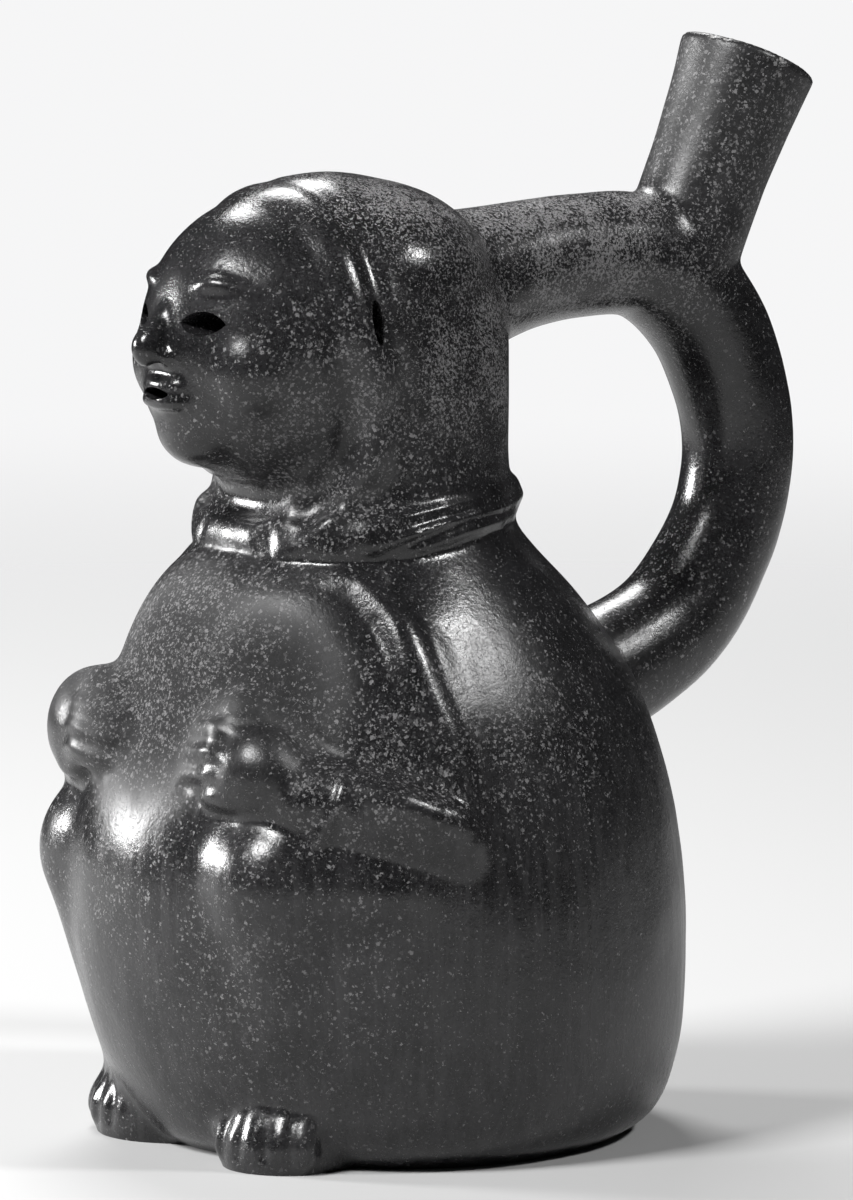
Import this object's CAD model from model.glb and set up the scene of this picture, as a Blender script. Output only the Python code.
"""The effigy bottle, dressed.

A seated, hooded figure of burnished black clay, with a stirrup handle and a spout. Metres, +Z up, and the
figure faces -Y. Sizes in millimetres of the real bottle are multiplied by mm.
"""

import math

import bmesh
import bpy
import numpy as np
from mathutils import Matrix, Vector
from mathutils.kdtree import KDTree


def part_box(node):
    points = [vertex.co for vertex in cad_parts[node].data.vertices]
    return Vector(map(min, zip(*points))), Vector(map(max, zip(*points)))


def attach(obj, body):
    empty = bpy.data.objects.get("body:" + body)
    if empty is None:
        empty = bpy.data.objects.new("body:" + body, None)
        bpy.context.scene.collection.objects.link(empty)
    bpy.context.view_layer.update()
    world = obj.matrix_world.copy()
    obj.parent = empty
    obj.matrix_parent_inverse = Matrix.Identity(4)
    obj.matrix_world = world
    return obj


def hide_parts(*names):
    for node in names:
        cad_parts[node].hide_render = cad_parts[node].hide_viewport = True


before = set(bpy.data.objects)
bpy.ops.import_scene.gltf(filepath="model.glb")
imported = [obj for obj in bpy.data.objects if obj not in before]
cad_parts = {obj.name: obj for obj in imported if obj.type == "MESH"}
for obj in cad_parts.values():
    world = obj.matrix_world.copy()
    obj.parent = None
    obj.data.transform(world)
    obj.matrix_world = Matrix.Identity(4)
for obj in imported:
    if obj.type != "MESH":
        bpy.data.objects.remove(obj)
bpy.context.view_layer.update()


# Body. The pear-shaped body is coiled up from a flat base in grey clay, scraped thin and drawn in to the
# neck. Each coil is a ring raised from the one below, wider or narrower, and deeper behind than in front.
bottle_low, bottle_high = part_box("effigy_bottle")
mm = (bottle_high.z - bottle_low.z) / 209.3
body_height = 119.0 * mm
body_side = 57.8 * mm
body_back = 60.6 * mm
body_front = 60.3 * mm
# a coil is its share of the height, then its shares of the half width, the back and the front
coils = (
    (-0.03, 0.70, 0.70, 0.58),
    (0.00, 0.79, 0.775, 0.68),
    (0.015, 0.865, 0.85, 0.745),
    (0.04, 0.918, 0.905, 0.785),
    (0.084, 0.955, 0.948, 0.83),
    (0.15, 0.985, 0.983, 0.885),
    (0.25, 1.00, 1.00, 0.950),
    (0.37, 1.00, 1.00, 0.992),
    (0.48, 0.983, 0.975, 1.000),
    (0.57, 0.951, 0.944, 0.955),
    (0.655, 0.910, 0.894, 0.895),
    (0.74, 0.850, 0.820, 0.852),
    (0.807, 0.780, 0.734, 0.825),
    (0.866, 0.705, 0.646, 0.778),
    (0.916, 0.636, 0.551, 0.710),
    (0.958, 0.575, 0.464, 0.600),
    (1.00, 0.510, 0.410, 0.480),
)


def between(rows, steps):
    """Rows between the given ones, on a curve that passes through them all."""
    rows = np.array(rows, float)
    padded = np.vstack([2 * rows[0] - rows[1], rows, 2 * rows[-1] - rows[-2]])
    made = []
    for i in range(1, len(padded) - 2):
        a, b, c, d = padded[i - 1 : i + 3]
        for t in np.arange(steps) / steps:
            square = (2 * a - 5 * b + 4 * c - d) * t**2
            cube = (3 * b - a - 3 * c + d) * t**3
            made.append(0.5 * (2 * b + (c - a) * t + square + cube))
    made.append(rows[-1])
    return np.array(made)


smooth_coils = between(coils, 6)


def on_body(turn, share, out=0.0, hand=1):
    """A point on the body, turn degrees from the front, at a share of its height, and out mm off the clay."""
    side, back, front = (np.interp(share, smooth_coils[:, 0], smooth_coils[:, i]) for i in (1, 2, 3))
    side, back, front = side * body_side, back * body_back, front * body_front
    angle = math.radians(turn)
    depth = front if math.cos(angle) > 0 else back
    place = Vector((side * math.sin(angle), -depth * math.cos(angle), share * body_height))
    place += Vector((math.sin(angle) / side, -math.cos(angle) / depth, 0)).normalized() * out * mm
    return Vector((place.x * hand, place.y, place.z))


def raise_rings(name, rings, sides=96):
    """A closed pot raised ring by ring. A ring is (centre, half width, back, front)."""
    bpy.ops.object.select_all(action="DESELECT")
    bpy.ops.mesh.primitive_circle_add(vertices=sides, radius=1.0, fill_type="NGON", location=rings[0][0])
    pot = bpy.context.object
    pot.name = name
    bpy.ops.object.transform_apply(location=True, rotation=True, scale=True)
    bpy.ops.object.mode_set(mode="EDIT")
    bpy.ops.mesh.select_mode(type="VERT")
    bpy.ops.mesh.select_all(action="SELECT")
    last_centre, last_sizes = rings[0][0], (1.0, 1.0, 1.0)
    for centre, *sizes in rings:
        if centre != last_centre:
            rise = Vector(centre) - Vector(last_centre)
            bpy.ops.mesh.extrude_region_move(TRANSFORM_OT_translate={"value": rise})
        side, back, front = (size / last for size, last in zip(sizes, last_sizes))
        bpy.ops.transform.resize(value=(side, 1, 1), center_override=centre)
        mesh = bmesh.from_edit_mesh(pot.data)
        ring = [corner for corner in mesh.verts if corner.select]
        for behind, deepen in ((True, back), (False, front)):
            for corner in ring:
                corner.select = (corner.co.y > centre[1]) == behind
            mesh.select_flush_mode()
            bpy.ops.transform.resize(value=(1, deepen, 1), center_override=centre)
        for corner in ring:
            corner.select = True
        mesh.select_flush_mode()
        mesh.select_flush(True)
        last_centre, last_sizes = centre, sizes
    bpy.ops.mesh.select_all(action="SELECT")
    bpy.ops.mesh.normals_make_consistent(inside=False)
    bpy.ops.object.mode_set(mode="OBJECT")
    return pot


def body_rings(wall=0.0, floor=-1.0):
    """The body's rings, smaller all round by a wall, from a floor level up."""
    rings = []
    for share, side, back, front in between(coils, 3):
        if share * body_height >= floor:
            sizes = (side * body_side - wall, back * body_back - wall, front * body_front - wall)
            rings.append(((0, 0, share * body_height), *sizes))
    return rings


body = raise_rings("body", body_rings())


# Lap. The knees are drawn up under the shirt and push its front out, with the shins below them. They are
# pads of clay pressed onto the body and smoothed in with a wet hand, as the join and the rubbing do here.
knee_turn = 38
knee_level = 0.462
knee_size = 16.5
shin_radii = (16.0, 14.5, 12.5)
thigh_radii = (15.0, 15.0, 14.0)


def add_pad(name, centre, radii, lean=0.0):
    """A rounded pad of clay, leaned about X. Radii are in mm."""
    bpy.ops.object.select_all(action="DESELECT")
    bpy.ops.mesh.primitive_uv_sphere_add(
        segments=48, ring_count=32, radius=mm, location=centre, rotation=(lean, 0, 0)
    )
    pad = bpy.context.object
    pad.name = name
    pad.scale = radii
    bpy.ops.object.transform_apply(location=True, rotation=True, scale=True)
    return pad


def add_roll(name, line, radii, steps=6, ring=False):
    """A roll of clay along a smooth line, its radius in mm changing from point to point."""
    knots = [(*point, radius * mm) for point, radius in zip(line, radii)]
    if not ring:
        knots = between(knots, steps)
    bpy.ops.object.select_all(action="DESELECT")
    bpy.ops.curve.primitive_nurbs_path_add(location=(0, 0, 0))
    roll = bpy.context.object
    roll.name = name
    shape = roll.data
    shape.splines.clear()
    shape.bevel_depth = 1.0
    shape.bevel_resolution = 8
    shape.use_fill_caps = True
    path = shape.splines.new("POLY")
    path.points.add(len(knots) - 1)
    for knot, (x, y, z, radius) in zip(path.points, knots):
        knot.co = (x, y, z, 1)
        knot.radius = radius
    path.use_cyclic_u = ring
    bpy.ops.object.convert(target="MESH")
    roll = bpy.context.object
    bpy.ops.object.mode_set(mode="EDIT")
    bpy.ops.mesh.select_all(action="SELECT")
    bpy.ops.mesh.remove_doubles(threshold=1e-6)
    bpy.ops.mesh.normals_make_consistent(inside=False)
    bpy.ops.object.mode_set(mode="OBJECT")
    return roll


def press_together(name, pieces, grain, rubs):
    """Joins pieces of clay into one skin and rubs it smooth. The grain, in mm, is how fine the skin is."""
    bpy.ops.object.select_all(action="DESELECT")
    for piece in pieces:
        piece.select_set(True)
    bpy.context.view_layer.objects.active = pieces[0]
    bpy.ops.object.join()
    skin = bpy.context.object
    skin.name = name
    join = skin.modifiers.new("Join", "REMESH")
    join.mode = "VOXEL"
    join.voxel_size = grain * mm
    bpy.ops.object.modifier_apply(modifier="Join")
    rub = skin.modifiers.new("Rub", "SMOOTH")
    rub.factor = 0.5
    rub.iterations = rubs
    bpy.ops.object.modifier_apply(modifier="Rub")
    return skin


lap = []
for hand in (1, -1):
    knee = on_body(knee_turn, knee_level, -9.9, hand)
    ankle = on_body(knee_turn - 2, 0.08, -12.5, hand)
    hip = on_body(82, 0.44, -15.0, hand)
    lap.append(add_pad("knee", knee, (knee_size, knee_size, knee_size)))
    lap.append(add_roll("shin", (knee, (knee + ankle) / 2, ankle), shin_radii))
    lap.append(add_roll("thigh", (knee, on_body(60, 0.455, -12.5, hand), hip), thigh_radii))
trunk = press_together("trunk", [body, *lap], grain=1.1, rubs=56)


# Arms. The upper arms lie under the cloak, and the forearms come forward in sleeves to the hands on the
# chest. They are thick rolls of clay laid along the body.
upper_arm_radii = (9.5, 10.5, 10.5, 10.0)
sleeve_radii = (8.8, 8.6, 8.0, 7.6)
arms = []
for hand in (1, -1):
    shoulder_line = [on_body(62, 0.88, -11.5, hand), on_body(70, 0.79, -10.8, hand)]
    shoulder_line += [on_body(74, 0.66, -10.0, hand), on_body(74, 0.52, -8.5, hand)]
    arms.append(add_roll("upper_arm", shoulder_line, upper_arm_radii))
    sleeve_line = [on_body(76, 0.505, -8.2, hand), on_body(66, 0.555, -4.0, hand)]
    sleeve_line += [on_body(54, 0.587, -2.0, hand), on_body(43, 0.612, -2.0, hand)]
    arms.append(add_roll("sleeve", sleeve_line, sleeve_radii))


# Hands. Loosely closed, with the fingers laid on the chest towards the middle. Each finger is a small roll
# pressed on beside the next, and the lines between them are cut with a pointed stick.
near_reach = (23.5, 19.5, 18.0, 18.5)
far_reach = (15.0, 11.0, 10.0, 12.0)
finger_radii = (3.4, 3.5, 3.3, 2.6)
thumb_radii = (3.0, 2.8, 2.2)


def finger(level, hand, lift=0.0):
    """The line of a finger, knuckle to tip. Levels run from 0, the forefinger, to 3, the little finger."""
    root = 0.744 - 0.0350 * level
    tip = 0.742 - 0.0370 * level
    end = np.interp(level, range(4), near_reach if hand > 0 else far_reach)
    fullness = 3.3 if hand > 0 else 4.1
    bulge = fullness - 0.5 * (level - 1.8) ** 2 + lift
    line = [on_body(37, root - 0.04, bulge - 5.0, hand)]
    line.append(on_body((end + 34) / 2, root, bulge + 0.3, hand))
    line.append(on_body(end + 3, (root + tip) / 2, bulge - 1.8, hand))
    line.append(on_body(end - 3, tip, lift - 1.2, hand))
    return line


limbs = []
for hand in (1, -1):
    if hand > 0:
        limbs.append(add_pad("palm", on_body(32, 0.640, -1.0, hand), (11.0, 9.2, 9.8)))
    else:
        limbs.append(add_pad("palm", on_body(31, 0.660, -1.0, hand), (14.0, 10.2, 12.4)))
    limbs.append(add_pad("knuckle", on_body(34, 0.655, 4.8, hand), (4.2, 3.4, 4.2)))
    limbs.append(add_pad("heel", on_body(42, 0.600, -2.8, hand), (9.6, 8.8, 8.4)))
    limbs.append(add_pad("fill", on_body(40, 0.560, -7.4, hand), (14.0, 9.0, 9.0)))
    for level in range(4):
        limbs.append(add_roll("finger", finger(level, hand), finger_radii))
    thumb_places = ((36, 0.618, 3.0), (29, 0.608, 3.8), (22, 0.605, 1.6))
    thumb_line = [on_body(turn, share, out, hand) for turn, share, out in thumb_places]
    limbs.append(add_roll("thumb", thumb_line, thumb_radii))


# Feet. Short bare feet that show below the shirt, down to the ground. Each is a pad of clay with an instep
# behind it and five small rolls for toes, and the lines between the toes are cut with a pointed stick.
foot_turn = 31
foot_point = math.radians(14)
toe_radii = (2.0, 2.5, 2.5, 2.0)
toe_heights = (12.2, 10.2, 5.6, 1.6)


def heel_place(hand):
    """Where the heel leaves the body, a little above the ground."""
    return on_body(foot_turn, 0.03, -3.6, hand)


def toe(place, hand, lift=0.0):
    """The line of a toe down to the ground. Places run from 0 at the big toe to 4 at the little toe."""
    heel = heel_place(hand)
    fan = math.radians(14 + 13 * (place - 2)) * hand
    ahead = Vector((math.sin(fan), -math.cos(fan), 0))
    across = Vector((math.cos(foot_point * hand), math.sin(foot_point * hand), 0)) * hand
    reach = 9.8 - 0.5 * (place - 1.5) ** 2
    root = heel + across * (place - 2) * 3.1 * mm
    line = [root + ahead * (share * reach + lift) * mm for share in (0.15, 0.62, 0.98, 1.0)]
    for spot, height in zip(line, toe_heights):
        spot.z = (height + lift) * mm
    return line


for hand in (1, -1):
    heel = heel_place(hand)
    inner = 1.5 if hand > 0 else 5.5
    foot_centre = (heel.x - inner * mm * hand, heel.y - 0.3 * mm, 2.4 * mm)
    instep_centre = (heel.x - 4.0 * mm * hand, heel.y + 4.0 * mm, 5.0 * mm)
    limbs.append(add_pad("foot", foot_centre, (11.2 + inner / 2, 12.0, 14.4)))
    limbs.append(add_pad("instep", instep_centre, (14.0, 11.0, 15.5)))
    for place in range(5):
        limbs.append(add_roll("toe", toe(place, hand), toe_radii))


# Head and neck. The head is a long rounded chamber inside the hood, on a round neck. Its face is a calm one
# of the maker's own, laid out on even thirds, and it tips up a little.
head_side = 29.2 * mm
head_length = 37.8 * mm
head_rise = 32.0 * mm
head_centre = Vector((0, -12.2 * mm, body_height + 35.0 * mm))
head_lean = math.radians(-8)
neck_radius = 29.4 * mm
neck_forward = 5.0 * mm


def on_head(x, y, z):
    """A point placed by shares of the head's half width, half length and rise from its middle."""
    return head_centre + Vector((x * head_side, y * head_length, z * head_rise))


def neck_rings(radius, flare=0.0):
    """Rings from the shoulders to the middle of the head, flared by some mm at the bottom."""
    low, high = 0.94 * body_height, head_centre.z
    rings = []
    for i in range(13):
        share = max(0.0, 1 - i / 6) ** 1.5
        wide = radius + flare * mm * share
        front = radius - 2.0 * mm * (share > 0)
        rings.append(((0, -neck_forward, low + (high - low) * i / 12), wide, wide, front))
    return rings


skull = add_pad("skull", head_centre, (head_side / mm, head_length / mm, head_rise / mm))
neck = raise_rings("neck", neck_rings(neck_radius, 2.2))
crown = add_pad("crown", Vector((0, -6.0 * mm, body_height + 47.0 * mm)), (27.6, 26.0, 18.8))
face = [
    add_pad("front", on_head(0, -0.36, 0.04), (24.0, 23.8, 27.0), head_lean),
    add_pad("jaw", on_head(0, -0.46, -0.33), (20.0, 19.8, 12.0), head_lean),
    add_pad("chin", on_head(0, -0.72, -0.47), (10.5, 9.0, 8.2)),
    add_pad("muzzle", on_head(0, -0.74, -0.22), (11.0, 9.0, 8.5)),
]
for hand in (1, -1):
    face.append(add_pad("cheek", on_head(0.42 * hand, -0.62, -0.10), (10.5, 10.5, 11.0)))


# Stirrup handle. A hollow tube bent over a form, let into the back of the head and the back of the body.
# It is thickest at the head, thinnest behind, and its joins are smoothed with a finger.
stirrup_reach = 85.3 * mm
arm_height = body_height + 48.0 * mm
foot_height = body_height - 29.0 * mm
# a place on the handle is its share of the reach, and of the drop from the arm to the foot
handle_shares = (
    (0.10, 0.08),
    (0.36, 0.021),
    (0.56, 0.000),
    (0.74, 0.020),
    (0.91, 0.185),
    (1.00, 0.440),
    (0.985, 0.660),
    (0.905, 0.833),
    (0.815, 0.950),
    (0.713, 1.022),
    (0.54, 1.100),
)
handle_line = []
for reach, drop in handle_shares:
    height = arm_height - drop * (arm_height - foot_height)
    handle_line.append(Vector((0, reach * stirrup_reach, height)))
along_handle = (0.0, 0.1, 0.2, 0.3, 0.45, 0.55, 0.72, 1.0)
radii_along = (16.4, 12.9, 12.2, 12.2, 11.6, 10.9, 11.6, 13.1)
handle_radii = np.interp(np.linspace(0, 1, len(handle_line)), along_handle, radii_along)
handle = add_roll("handle", handle_line, handle_radii)


# Spout. A straight tube thrown open at the lip, which leans back from the top corner of the handle.
# The lip is rounded with a wet strip of leather, and a web of clay fills the crook in front of the tube.
spout_length = 48.5 * mm
spout_lean = math.radians(24.3)
spout_radius = 12.3 * mm
lip_radius = 13.8 * mm
lip_wall = 3.0 * mm
spout_foot = handle_line[3] + Vector((0, 5.0 * mm, -5.5 * mm))
spout_axis = Vector((0, math.sin(spout_lean), math.cos(spout_lean)))


def turn_tube(name, rows):
    """A turned shape on the spout's axis, from (distance, radius) rows."""
    tube = raise_rings(name, [((0, 0, up), radius, radius, radius) for up, radius in rows], 72)
    tube.rotation_euler = (-spout_lean, 0, 0)
    tube.location = spout_foot
    bpy.ops.object.transform_apply(location=True, rotation=True, scale=True)
    return tube


lip_middle = lip_radius - lip_wall / 2
mouth_radius = lip_radius - lip_wall
spout_flare = ((0.05, 12.0), (0.35, 11.9), (0.50, 11.9), (0.62, 12.1), (0.74, 12.5))
spout_flare += ((0.85, 13.05), (0.975, 13.7))
spout_rows = [(share * spout_length, radius * mm) for share, radius in spout_flare]
for angle in range(15, 166, 15):
    turn = math.radians(angle)
    rise = spout_length - 0.8 * mm * (1 - math.sin(turn))
    spout_rows.append((rise, lip_middle + lip_wall / 2 * math.cos(turn)))
spout_rows += [(spout_length - 1.6 * mm, mouth_radius), (spout_length - 9.0 * mm, 0.97 * mouth_radius)]
spout = turn_tube("spout", spout_rows)
crook_line = (handle_line[2], spout_foot + spout_axis * 9 * mm, spout_foot + spout_axis * 19 * mm)
crook_line = [spot - Vector((0, 1.4 * mm, 0)) for spot in crook_line]
crook = add_roll("crook", crook_line, (11.2, 11.6, 11.4))
clay = [trunk, skull, crown, neck, *face, *arms, *limbs, handle, crook]
figure = press_together("figure", clay, grain=1.0, rubs=16)


# Collar. The bottom of the hood is rolled outwards into a collar, thin behind the neck and thick under the
# chin, where it hangs lower.
def on_collar(turn, up=0.0, out=0.0):
    """A point on the middle of the collar roll, turn degrees from the front, moved up and out by mm."""
    angle = math.radians(turn)
    ahead = 0.5 + 0.5 * math.cos(angle)
    side, depth = 27.9 * mm, (28.6 - 5.4 * ahead) * mm
    height = body_height + (2.1 - 2.9 * math.cos(angle) - 1.9 * ahead**1.5 + up) * mm
    away = Vector((math.sin(angle), -math.cos(angle), 0)) * out * mm
    return Vector((side * math.sin(angle), -neck_forward - depth * math.cos(angle), height)) + away


collar_turns = range(0, 360, 15)
collar_radii = [4.3 + 2.8 * (0.5 + 0.5 * math.cos(math.radians(turn))) ** 1.5 for turn in collar_turns]
collar = add_roll("collar", [on_collar(turn) for turn in collar_turns], collar_radii, ring=True)


# Features. Nose, brows, lids and lips are small rolls and pellets of clay. They are set on the face while it
# is wet, and smoothed in at their edges.
small = [collar, spout]
nose_places = ((-0.86, 0.31), (-0.97, 0.16), (-1.06, 0.03), (-1.02, -0.05))
nose_line = [on_head(0, y, z) for y, z in nose_places]
brow_places = ((0.14, -0.875, 0.335), (0.36, -0.83, 0.40), (0.60, -0.67, 0.34))
lid_places = (-5.2, -2.8, 0.0, 2.8, 5.2)
lip_places = ((-0.27, -0.90), (-0.13, -0.975), (0.13, -0.975), (0.27, -0.90))
small.append(add_roll("nose", nose_line, (2.2, 2.5, 3.1, 2.8)))
for hand in (1, -1):
    small.append(add_pad("nostril", on_head(0.10 * hand, -0.965, -0.035), (2.3, 2.6, 2.0)))
    brow_line = [on_head(x * hand, y, z) for x, y, z in brow_places]
    small.append(add_roll("brow", brow_line, (1.5, 2.0, 1.5)))
    eye = on_head(0.345 * hand, -0.80, 0.175)
    for height in (1, -1):
        lid_line = []
        for across in lid_places:
            arch = 2.9 * (1 - (across / 5.6) ** 2) * height
            lid_line.append(Vector((eye.x + across * mm, -1.0, eye.z + arch * mm)))
        for spot in lid_line:
            bow = 0.955 - 0.50 * ((spot.x - head_centre.x) / head_side) ** 2
            spot.y = head_centre.y - head_length * bow + 1.6 * mm
        small.append(add_roll("lid", lid_line, (0.8, 1.15, 1.3, 1.15, 0.8)))
for height, radius in ((-0.205, 1.5), (-0.300, 1.7)):
    lip_line = [on_head(x, y, height) for x, y in lip_places]
    small.append(add_roll("lip", lip_line, (0.8, radius, radius, 0.8)))
bottle = press_together("bottle", [figure, *small], grain=0.62, rubs=8)


# Tooling. Before the clay is leather hard, lines are pressed into it or drawn up from it: the cloak's front
# edge, the rolled edge of the hood, the cuffs, and the lines between fingers and toes.
def distance_to_path(places, path):
    """Distance of each place from a path, and how far along the path its nearest point is, from 0 to 1."""
    best = np.full(len(places), np.inf)
    along = np.zeros(len(places))
    for i, (a, b) in enumerate(zip(path, path[1:])):
        step = b - a
        t = np.clip(((places - a) @ step) / max(step @ step, 1e-12), 0, 1)
        gap = np.linalg.norm(places - a - t[:, None] * step, axis=1)
        near = gap < best
        best[near] = gap[near]
        along[near] = (i + t[near]) / (len(path) - 1)
    return best, along


def tool_lines(piece, lines):
    """Raises the clay along lines drawn on it, or presses it where a height is negative.

    A line is (points, width in mm, heights in mm). Its points are moved to the nearest clay.
    """
    mesh = piece.data
    count = len(mesh.vertices)
    places = np.empty(count * 3, np.float32)
    ways = np.empty(count * 3, np.float32)
    mesh.vertices.foreach_get("co", places)
    mesh.vertices.foreach_get("normal", ways)
    places = places.reshape(-1, 3).astype(float)
    ways = ways.reshape(-1, 3).astype(float)
    skin = KDTree(count)
    for i, place in enumerate(places):
        skin.insert(place, i)
    skin.balance()
    lift = np.zeros(count)
    for points, width, heights in lines:
        reach = width * mm
        path = between([tuple(skin.find(point)[0]) for point in points], 6)
        close = np.all((places > path.min(axis=0) - reach) & (places < path.max(axis=0) + reach), axis=1)
        gap, along = distance_to_path(places[close], path)
        height = np.interp(along, np.linspace(0, 1, len(heights)), heights)
        lift[close] += height * mm * np.clip(1 - (gap / reach) ** 2, 0, 1) ** 2
    places += ways * lift[:, None]
    mesh.vertices.foreach_set("co", places.astype(np.float32).ravel())
    mesh.update()


hood_edge = (
    (0.00, -0.40, 0.930),
    (0.30, -0.36, 0.890),
    (0.54, -0.34, 0.780),
    (0.73, -0.32, 0.620),
    (0.87, -0.31, 0.425),
    (0.95, -0.29, 0.175),
    (0.96, -0.21, -0.10),
    (0.95, -0.18, -0.35),
    (0.88, -0.17, -0.60),
    (0.80, -0.25, -0.80),
    (0.66, -0.43, -0.94),
    (0.50, -0.60, -1.02),
)


def over_head(back):
    """The line of the hood's edge from under the chin, over the head, to under the chin, moved back by mm."""
    half = [on_head(x, y + back * mm / head_length, z) for x, y, z in hood_edge]
    return [Vector((-spot.x, spot.y, spot.z)) for spot in half[:0:-1]] + half


# a crease round the collar is (turn, height) places, and how deep it is along them
collar_creases = (
    (((165, 1.6), (130, 2.4), (100, 3.2), (78, 2.4), (58, 0.2)), (-0.2, -0.9, -1.2, -1.0, -0.1)),
    (((165, -1.6), (130, -1.0), (100, -0.2), (78, -1.4), (56, -3.4)), (-0.2, -0.8, -1.1, -1.0, -0.1)),
)
# the cloak's edge is (share, turn) places on the body, from the collar down to the ground
cloak_edge = ((0.965, 36), (0.952, 47), (0.935, 56), (0.90, 62), (0.86, 65), (0.81, 66.5), (0.75, 68.5))
cloak_edge += ((0.69, 70.5), (0.60, 73), (0.49, 75), (0.38, 75), (0.24, 73), (0.08, 64))
cloak_heights = (0.2, 0.8, 1.4, 1.8, 2.0, 2.0, 1.9, 1.6, 1.2, 0.8, 0.5, 0.3, 0.1)
sleeve_fold = ((50, 0.645), (56, 0.62), (62, 0.60), (70, 0.575), (74, 0.54))
lines = [
    (over_head(0.4), 6.4, (1.8, 2.2, 0.9, 0.9, 0.2, 0.9, 0.9, 2.2, 1.8)),
    (over_head(-5.4), 5.0, (-2.2, -2.6, -0.6, -0.5, 0.0, -0.5, -0.6, -2.6, -2.2)),
    (over_head(5.4), 3.4, (-0.2, -0.5, -0.7, -0.7, -0.1, -0.7, -0.7, -0.5, -0.2)),
    ([on_collar(turn, 8.5, 3.0) for turn in range(-75, 76, 15)], 5.0, (-0.2, -1.4, -2.2, -1.4, -0.2)),
]
for hand in (1, -1):
    for creases, depths in collar_creases:
        lines.append(([on_collar(hand * turn, up, 5.0) for turn, up in creases], 2.0, depths))
    edge = [on_body(turn, share, 1.0, hand) for share, turn in cloak_edge]
    lines.append((edge, 5.6, cloak_heights))
    cuff = [on_body(52, 0.69, 6.0, hand), on_body(50, 0.61, 9.0, hand), on_body(47, 0.545, 5.0, hand)]
    lines.append((cuff, 1.7, (0.4, 0.9, 0.6)))
    fold = [on_body(turn, share, 4.0, hand) for turn, share in sleeve_fold]
    lines.append((fold, 5.0, (0.0, 1.2, 1.9, 1.4, 0.2)))
    wrist = [on_body(38, 0.755, 2.0, hand), on_body(44, 0.71, 3.0, hand), on_body(52, 0.68, 4.0, hand)]
    lines.append((wrist, 2.2, (-0.1, -0.6, -0.2)))
    for level in (0.5, 1.5, 2.5, 3.5):
        lines.append((finger(level, hand, 3.0), 2.3, (0.0, -0.3, -0.7, -0.6)))
    for place in (0.5, 1.5, 2.5, 3.5):
        lines.append((toe(place, hand, 2.0), 1.8, (0.0, -0.1, -0.4, -0.5)))

# three small chips in the lip. Their angles run from the left of the picture round towards the camera
mouth_centre = spout_foot + spout_axis * spout_length
chips = []
for angle, size in ((50, 0.8), (62, 0.6), (115, 0.6)):
    turn = math.radians(angle)
    leftward, nearer = math.cos(turn), math.sin(turn)
    away = Vector((nearer * 0.829 - leftward * 0.559, -leftward * 0.829 - nearer * 0.559, 0))
    away -= spout_axis * away.dot(spout_axis)
    spot = mouth_centre + away.normalized() * (lip_radius - 0.4 * mm) - spout_axis * 0.6 * mm
    chips.append((spot, size))
    lines.append(([spot, spot + Vector((0.3 * mm, 0.3 * mm, 0))], size, (-0.6, -0.6)))
tool_lines(bottle, lines)


# Hand pressure. Fingers and the burnishing pebble leave broad, very shallow unevenness all over the clay. The
# skin is then eased, so that it keeps its shape with fewer triangles.
pressure = bpy.data.textures.new("hand_pressure", "CLOUDS")
pressure.noise_scale = 16.0 * mm
pressure.noise_depth = 1
dents = bottle.modifiers.new("Hand pressure", "DISPLACE")
dents.texture = pressure
dents.texture_coords = "LOCAL"
dents.strength = 0.5 * mm
dents.mid_level = 0.5
bpy.ops.object.modifier_apply(modifier="Hand pressure")
rub = bottle.modifiers.new("Rub", "SMOOTH")
rub.factor = 0.5
rub.iterations = 3
bpy.ops.object.modifier_apply(modifier="Rub")
skin_triangles = 165000
ease = bottle.modifiers.new("Ease", "DECIMATE")
ease.ratio = min(1.0, skin_triangles / sum(len(face.vertices) - 2 for face in bottle.data.polygons))
bpy.ops.object.modifier_apply(modifier="Ease")


# Hollow. The bottle is empty, with walls about five millimetres thick. The handle and the spout are open
# tubes, and eyes, mouth and ear slots are pierced into the head, so that it dries and fires without bursting.
body_wall = 5.2 * mm
base_wall = 6.0 * mm
handle_wall = 4.2
chamber = [raise_rings("chamber", body_rings(body_wall, base_wall))]
chamber.append(raise_rings("throat", neck_rings(neck_radius - body_wall)))
head_room = (head_side - body_wall, 0.92 * head_length - body_wall, head_rise - body_wall)
chamber.append(add_pad("head_room", head_centre + Vector((0, 2 * mm, 0)), [size / mm for size in head_room]))
chamber.append(add_roll("handle_bore", handle_line, handle_radii - handle_wall))
narrow = spout_radius - handle_wall * mm
bore_rows = [(0, 0.9 * narrow), (0.35 * spout_length, narrow), (spout_length - 8.0 * mm, 0.96 * mouth_radius)]
chamber.append(turn_tube("spout_bore", bore_rows))
for hand in (1, -1):
    chamber.append(add_pad("knee_room", on_body(33, 0.46, -13.5, hand), (13.0, 13.0, 13.0)))
hollow = press_together("hollow", chamber, grain=1.6, rubs=3)
ease = hollow.modifiers.new("Ease", "DECIMATE")
ease.ratio = 0.25
bpy.ops.object.modifier_apply(modifier="Ease")


def pierce(name, centre, width, height, depth, turn=0.0, point=0.0):
    """A bar that pierces the wall, turned about Z. Its ends are round, or pointed like an almond."""
    bpy.ops.object.select_all(action="DESELECT")
    bpy.ops.mesh.primitive_cylinder_add(vertices=40, radius=1.0, depth=2.0, rotation=(math.pi / 2, 0, 0))
    bar = bpy.context.object
    bar.name = name
    bpy.ops.object.transform_apply(location=True, rotation=True, scale=True)
    for corner in bar.data.vertices:
        corner.co.z *= abs(corner.co.z) ** point
    bar.scale = (width / 2 * mm, depth / 2 * mm, height / 2 * mm)
    bar.rotation_euler = (0, 0, turn)
    bar.location = centre
    bpy.ops.object.transform_apply(location=True, rotation=True, scale=True)
    return bar


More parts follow.
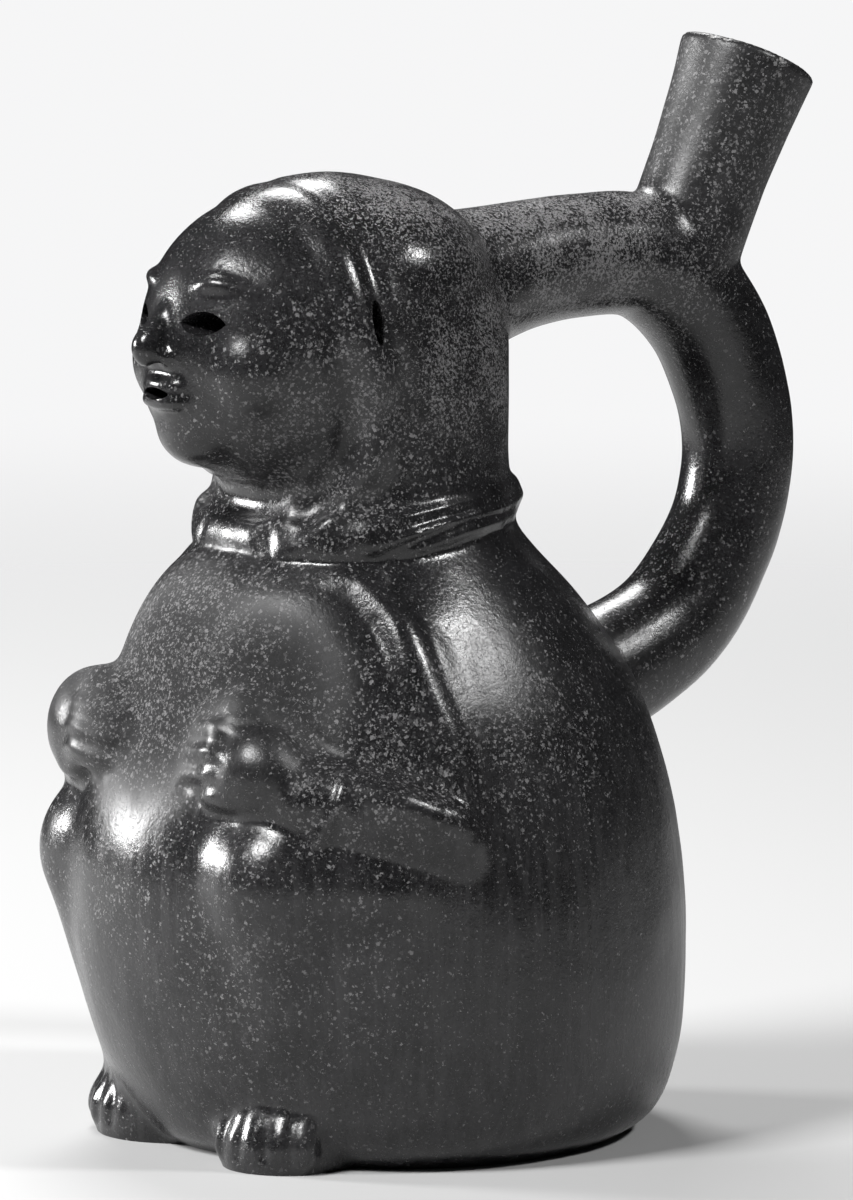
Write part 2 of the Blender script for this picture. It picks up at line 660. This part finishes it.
# the openings' widths, heights and depths in mm
eye_size = (8.8, 4.6, 24.0)
ear_size = (3.0, 8.5, 18.0)
mouth_size = (8.2, 2.4, 26.0)
tools = []
for hand in (1, -1):
    tools.append(pierce("eye", on_head(0.345 * hand, -0.80, 0.175), *eye_size, point=0.6))
    tools.append(pierce("ear", on_head(0.93 * hand, -0.165, 0.175), *ear_size, turn=math.pi / 2))
tools.append(pierce("mouth", on_head(0, -0.88, -0.255), *mouth_size, point=0.4))
bpy.ops.object.select_all(action="DESELECT")
for tool in tools:
    tool.select_set(True)
bpy.context.view_layer.objects.active = tools[0]
bpy.ops.object.join()
openings = bpy.context.object

bpy.ops.object.select_all(action="DESELECT")
bpy.ops.mesh.primitive_cube_add(size=1.0, location=(0, 0, -15 * mm), scale=(240 * mm, 240 * mm, 30 * mm))
ground = bpy.context.object
bpy.ops.object.transform_apply(location=True, rotation=True, scale=True)

bpy.context.view_layer.objects.active = bottle
for tool, label in ((ground, "Flat underside"), (hollow, "Hollow inside"), (openings, "Openings")):
    cut = bottle.modifiers.new(label, "BOOLEAN")
    cut.operation = "DIFFERENCE"
    cut.solver = "EXACT"
    cut.object = tool
    bpy.ops.object.modifier_apply(modifier=label)
    bpy.data.objects.remove(tool)
bpy.ops.object.select_all(action="DESELECT")
bottle.select_set(True)
bpy.ops.object.shade_smooth_by_angle(angle=math.radians(40))


# Burnished blackware. The clay is rubbed with a pebble and fired in smoke: black all through, softly glossy.
# In the ground the burnish has worn to a fine grey crust on hood and handle, to single grey pits on cheeks,
# chest and sleeves, and to a dull skin in places. Low on the body only the burnishing strokes show.
blackware = bpy.data.materials.new("burnished_blackware")
blackware.use_nodes = True
nodes, links = blackware.node_tree.nodes, blackware.node_tree.links
shader = nodes["Principled BSDF"]
shader.inputs["IOR"].default_value = 1.50
soot_black = (0.0050, 0.0050, 0.0053, 1)
smoke_grey = (0.024, 0.0236, 0.025, 1)
crust_grey = (0.195, 0.192, 0.195, 1)
chip_grey = (0.42, 0.41, 0.40, 1)


def add_node(kind, place, **settings):
    """A shader node at a place on the sheet, with its settings."""
    node = nodes.new(kind)
    node.location = place
    for name, value in settings.items():
        setattr(node, name, value)
    return node


def fill(sockets, values):
    """Gives sockets their values, or links them to other nodes."""
    for socket, value in zip(sockets, values):
        if isinstance(value, bpy.types.NodeSocket):
            links.new(value, socket)
        else:
            socket.default_value = value


def math_node(operation, first, second, place):
    node = add_node("ShaderNodeMath", place, operation=operation)
    fill(node.inputs, (first, second))
    return node.outputs[0]


def noise(where, scale, detail, roughness, place):
    node = add_node("ShaderNodeTexNoise", place)
    sockets = [node.inputs[name] for name in ("Vector", "Scale", "Detail", "Roughness")]
    fill(sockets, (where, scale, detail, roughness))
    return node.outputs["Fac"]


def spread(value, low, high, to_low, to_high, place):
    """Maps a value from one range to another, held inside it, with soft ends."""
    node = add_node("ShaderNodeMapRange", place, interpolation_type="SMOOTHSTEP")
    names = ("Value", "From Min", "From Max", "To Min", "To Max")
    fill([node.inputs[name] for name in names], (value, low, high, to_low, to_high))
    return node.outputs["Result"]


def add_up(start, parts, place):
    """A value with each of some (mask, strength) parts added to it."""
    total = start
    x, y = place
    for i, (mask, strength) in enumerate(parts):
        part = math_node("MULTIPLY", mask, strength, (x, y - 180 * i))
        total = math_node("ADD", total, part, (x + 180, y - 180 * i))
    return total


def blend_colours(share, first, second, place):
    node = add_node("ShaderNodeMix", place, data_type="RGBA")
    fill((node.inputs[0], node.inputs[6], node.inputs[7]), (share, first, second))
    return node.outputs[2]


def patches(where, spots, place):
    """A mask that is strong near each spot. A spot is (place in mm, size in mm, strength)."""
    mask = None
    x, y = place
    for i, (spot, size, strength) in enumerate(spots):
        away = add_node("ShaderNodeVectorMath", (x, y - 120 * i), operation="DISTANCE")
        fill(away.inputs, (where, spot))
        near = spread(away.outputs["Value"], 0.3 * size, 1.15 * size, strength, 0.0, (x + 180, y - 120 * i))
        mask = near if mask is None else math_node("MAXIMUM", mask, near, (x + 360, y - 120 * i))
    return mask


coords = add_node("ShaderNodeTexCoord", (-2600, 0)).outputs["Object"]
per_mm = add_node("ShaderNodeVectorMath", (-2400, 0), operation="SCALE")
fill((per_mm.inputs[0], per_mm.inputs["Scale"]), (coords, 1 / mm))
in_mm = per_mm.outputs[0]

# smoke clouds, and the grain of the clay
clouds = spread(noise(in_mm, 0.04, 4.0, 0.6, (-2100, 900)), 0.36, 0.66, 0.0, 1.0, (-1900, 900))
mottle = spread(noise(in_mm, 0.30, 4.0, 0.65, (-2100, 700)), 0.34, 0.68, 0.0, 1.0, (-1900, 700))
grain = spread(noise(in_mm, 1.5, 3.0, 0.7, (-2100, 500)), 0.34, 0.70, 0.0, 1.0, (-1900, 500))
tone = add_up(0.0, ((clouds, 0.26), (mottle, 0.30), (grain, 0.44)), (-1700, 900))
clay_colour = blend_colours(tone, soot_black, smoke_grey, (-1100, 800))


def grains(scale, share, size, place):
    """Worn grains, each in a cell of its own.

    Scale is in grains per mm, share is how many are worn and size is how much of its cell one fills.
    """
    x, y = place
    cells = add_node("ShaderNodeTexVoronoi", (x, y))
    fill([cells.inputs[name] for name in ("Vector", "Scale")], (bent, scale))
    lot = add_node("ShaderNodeSeparateColor", (x + 180, y))
    links.new(cells.outputs["Color"], lot.inputs[0])
    chosen = math_node("SUBTRACT", share, lot.outputs[0], (x + 360, y))
    chosen = spread(chosen, -0.02, 0.05, 0.0, 1.0, (x + 540, y))
    inside = math_node("SUBTRACT", size, cells.outputs["Distance"], (x + 360, y - 200))
    inside = spread(inside, -0.02, 0.10, 0.0, 1.0, (x + 540, y - 200))
    pale = spread(lot.outputs[1], 0.0, 1.0, 0.15, 0.95, (x + 540, y - 400))
    return math_node("MULTIPLY", math_node("MULTIPLY", chosen, inside, (x + 720, y)), pale, (x + 900, y))


# places pushed about a little, so that grains and net are irregular
wobble = add_node("ShaderNodeTexNoise", (-2600, -300))
fill([wobble.inputs[name] for name in ("Vector", "Scale", "Detail")], (in_mm, 2.2, 2.0))
centred = add_node("ShaderNodeVectorMath", (-2400, -300), operation="SUBTRACT")
fill(centred.inputs, (wobble.outputs["Color"], (0.5, 0.5, 0.5)))
pushed = add_node("ShaderNodeVectorMath", (-2200, -300), operation="MULTIPLY_ADD")
fill(pushed.inputs, (centred.outputs[0], (1.1, 1.1, 1.1), in_mm))
bent = pushed.outputs[0]
drift = noise(in_mm, 0.13, 4.0, 0.65, (-2100, -450))

# the fine grey crust on the hood and the front of the handle
crusted_places = [((0, 4, 174), 38, 0.80), ((0, 40, 168), 34, 0.78), ((0, 62, 162), 20, 0.6)]
crusted_places += [((20 * hand, 14, 156), 30, 0.66) for hand in (1, -1)]
crusted_places += [((29 * hand, 4, 152), 22, 0.60) for hand in (1, -1)]
crusted = patches(in_mm, crusted_places, (-2100, 200))
crust_drift = spread(drift, 0.36, 0.60, 0.55, 1.0, (-1900, -450))
crust_share = math_node("MULTIPLY", crusted, crust_drift, (-1500, 100))
crust_edge = math_node("SUBTRACT", 0.63, math_node("MULTIPLY", crust_share, 0.23, (-1300, 100)), (-1100, 100))
crust_net = noise(bent, 1.9, 3.0, 0.70, (-1300, -100))
crust = spread(crust_net, crust_edge, math_node("ADD", crust_edge, 0.05, (-1100, 0)), 0.0, 1.0, (-900, 0))

# single pits, but hardly any on the hands, which are polished by handling
pitted_places = [((0, -58, 60), 24, 0.35), ((0, -46, 94), 34, 0.85)]
pitted_places += [((0, 84, 186), 34, 0.55), ((0, 60, 80), 60, 0.22)]
for hand in (1, -1):
    pitted_places += [((23 * hand, -24, 140), 30, 0.80), ((44 * hand, -32, 80), 26, 0.60)]
    pitted_places += [((52 * hand, -2, 86), 28, 0.50), ((30 * hand, -40, 45), 30, 0.32)]
pitted = patches(in_mm, pitted_places, (-2100, -700))
on_hands = patches(in_mm, [((27 * hand, -50, 78), 15, 0.85) for hand in (1, -1)], (-2100, -3900))
off_hands = math_node("SUBTRACT", 1.0, on_hands, (-1700, -3900))
pitted = math_node("MULTIPLY", pitted, off_hands, (-1750, -700))
pit_drift = spread(drift, 0.38, 0.62, 0.45, 1.0, (-1900, -1900))
pit_share = math_node("ADD", pitted, 0.04, (-1700, -800))
pit_share = math_node("MULTIPLY", pit_share, pit_drift, (-1500, -800))
fine_pits = grains(1.75, pit_share, 0.50, (-1300, -900))
large_pits = grains(1.05, math_node("MULTIPLY", pit_share, 0.45, (-1500, -1500)), 0.46, (-1300, -1500))
pits = math_node("MAXIMUM", fine_pits, large_pits, (-300, -1000))

# burnishing strokes, drawn up and down the body
stretch = add_node("ShaderNodeMapping", (-2100, -2200))
fill((stretch.inputs["Vector"], stretch.inputs["Scale"]), (in_mm, (1.0, 1.0, 0.05)))
low_down = add_node("ShaderNodeSeparateXYZ", (-2100, -2400))
links.new(in_mm, low_down.inputs[0])
stroke = noise(stretch.outputs[0], 0.42, 3.0, 0.6, (-1900, -2200))
stroke = spread(stroke, 0.40, 0.66, 0.0, 1.0, (-1700, -2200))
fade = spread(low_down.outputs[2], 50, 95, 1.0, 0.15, (-1700, -2400))
stroke = math_node("MULTIPLY", stroke, fade, (-1500, -2200))

# chips in the lip, where the paler core of the clay shows
chipped = patches(in_mm, [(tuple(spot / mm), size * 0.8, 1.0) for spot, size in chips], (-2100, -2500))

worn = math_node("MAXIMUM", crust, pits, (-700, -400))
colour = blend_colours(math_node("MULTIPLY", worn, 0.85, (-500, -300)), clay_colour, crust_grey, (-300, 400))
colour = blend_colours(math_node("MULTIPLY", stroke, 0.05, (-300, -2200)), colour, crust_grey, (-100, 400))
colour = blend_colours(chipped, colour, chip_grey, (100, 400))

# gloss: dull where the burnish has gone from chest, cheeks, sides and the top of the spout
dull_places = [((0, -52, 92), 30, 0.72), ((0, 82, 192), 27, 0.28)]
for hand in (1, -1):
    dull_places += [((25 * hand, -46, 91), 23, 0.72), ((24 * hand, -30, 136), 22, 0.12)]
    dull_places += [((47 * hand, 2, 92), 22, 0.08), ((34 * hand, 46, 55), 58, 0.16)]
dull = math_node("MULTIPLY", patches(in_mm, dull_places, (-500, -3600)), off_hands, (0, -3600))
burnished = 0.165
wear = ((stroke, 0.07), (clouds, 0.05), (worn, 0.06), (crusted, 0.01), (pitted, 0.07))
wear += ((dull, 1.0), (chipped, 0.4))
rough = math_node("MINIMUM", add_up(burnished, wear, (-500, -1200)), 1.0, (300, -1200))

relief = ((grain, 0.24), (stroke, 0.08), (worn, -0.50), (mottle, 0.45))
height = add_up(0.0, relief, (-500, -2600))
bump = add_node("ShaderNodeBump", (500, -2600))
fill([bump.inputs[name] for name in ("Strength", "Distance", "Height")], (0.6, 0.10 * mm, height))
sockets = [shader.inputs[name] for name in ("Base Color", "Roughness", "Normal")]
fill(sockets, (colour, rough, bump.outputs["Normal"]))

bottle.data.materials.clear()
bottle.data.materials.append(blackware)
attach(bottle, "root")
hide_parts("effigy_bottle")


# Floor and light. The bottle stands on a pale sweep of paper, which fades into a white wall. The main softbox
# is high in front on the left, a second is low on the left, a small one high on the right, and a wide one
# hangs above and behind.
bpy.ops.object.select_all(action="DESELECT")
bpy.ops.mesh.primitive_circle_add(vertices=96, radius=1.6, fill_type="NGON", location=(0, 0, 0))
sweep = bpy.context.object
sweep.name = "paper_sweep"
bpy.ops.object.transform_apply(location=True, rotation=True, scale=True)
paper = bpy.data.materials.new("paper")
paper.use_nodes = True
nodes, links = paper.node_tree.nodes, paper.node_tree.links
shader = nodes["Principled BSDF"]
shader.inputs["Base Color"].default_value = (0.48, 0.48, 0.48, 1)
shader.inputs["Roughness"].default_value = 0.8
coords = add_node("ShaderNodeTexCoord", (-900, 300)).outputs["Object"]
away = add_node("ShaderNodeVectorMath", (-700, 300), operation="LENGTH")
links.new(coords, away.inputs[0])
links.new(spread(away.outputs["Value"], 0.35, 1.3, 1.0, 0.0, (-450, 300)), shader.inputs["Alpha"])
sweep.data.materials.append(paper)

room = bpy.data.worlds.new("studio")
room.use_nodes = True
nodes, links = room.node_tree.nodes, room.node_tree.links
dim = nodes["Background"]
dim.inputs["Color"].default_value = (0.96, 0.97, 1.0, 1)
dim.inputs["Strength"].default_value = 0.015
wall = add_node("ShaderNodeBackground", (0, -200))
wall.inputs["Color"].default_value = (0.92, 0.92, 0.925, 1)
wall.inputs["Strength"].default_value = 1.0
seen = add_node("ShaderNodeLightPath", (0, 300))
either = add_node("ShaderNodeMixShader", (250, 0))
links.new(seen.outputs["Is Camera Ray"], either.inputs[0])
links.new(dim.outputs[0], either.inputs[1])
links.new(wall.outputs[0], either.inputs[2])
links.new(either.outputs[0], nodes["World Output"].inputs["Surface"])
bpy.context.scene.world = room
bpy.context.scene.view_settings.view_transform = "Standard"

aim = Vector((0, 0, 105 * mm))


def add_softbox(name, way, distance, size, brightness):
    """A square softbox that faces the bottle from a direction. Brightness is its radiance."""
    place = aim + Vector(way).normalized() * distance
    bpy.ops.object.light_add(type="AREA", location=place)
    box = bpy.context.object
    box.name = name
    box.data.shape = "SQUARE"
    box.data.size = size
    box.data.energy = brightness * size * size * math.pi
    box.rotation_euler = (aim - place).to_track_quat("-Z", "Y").to_euler()


# direction from the middle of the bottle, distance and size in metres, and brightness
add_softbox("left_softbox", (-0.78, -0.60, 0.20), 1.3, 0.26, 88)
add_softbox("right_softbox", (0.62, 0.40, 0.68), 1.25, 0.14, 130)
add_softbox("back_softbox", (-0.589, 0.253, 0.766), 1.3, 0.45, 20)
add_softbox("key_softbox", (0.074, -0.704, 0.707), 1.5, 0.42, 50)

# the camera stands well back, round to the figure's left and a little above, and its lens is long
camera_turn, camera_rise, camera_distance = math.radians(56.0), math.radians(7.0), 1.9
picture_height = 1200
pixels_per_mm = 5.2
flat = math.cos(camera_rise)
back = Vector((math.sin(camera_turn) * flat, -math.cos(camera_turn) * flat, math.sin(camera_rise)))
right = Vector((math.cos(camera_turn), math.sin(camera_turn), 0))
up = back.cross(right)
middle = Vector((0, 0, 110.0 * mm))
looks_at = middle + right * 9.5 * mm - up * 7.1 * mm
bpy.ops.object.camera_add(location=middle + back * camera_distance)
camera = bpy.context.object
camera.rotation_euler = (looks_at - camera.location).to_track_quat("-Z", "Y").to_euler()
camera.data.sensor_fit = "VERTICAL"
camera.data.sensor_height = 36.0
camera.data.lens = camera.data.sensor_height * pixels_per_mm * camera_distance * 1000 / picture_height
camera.data.clip_end = 20.0
bpy.context.scene.camera = camera
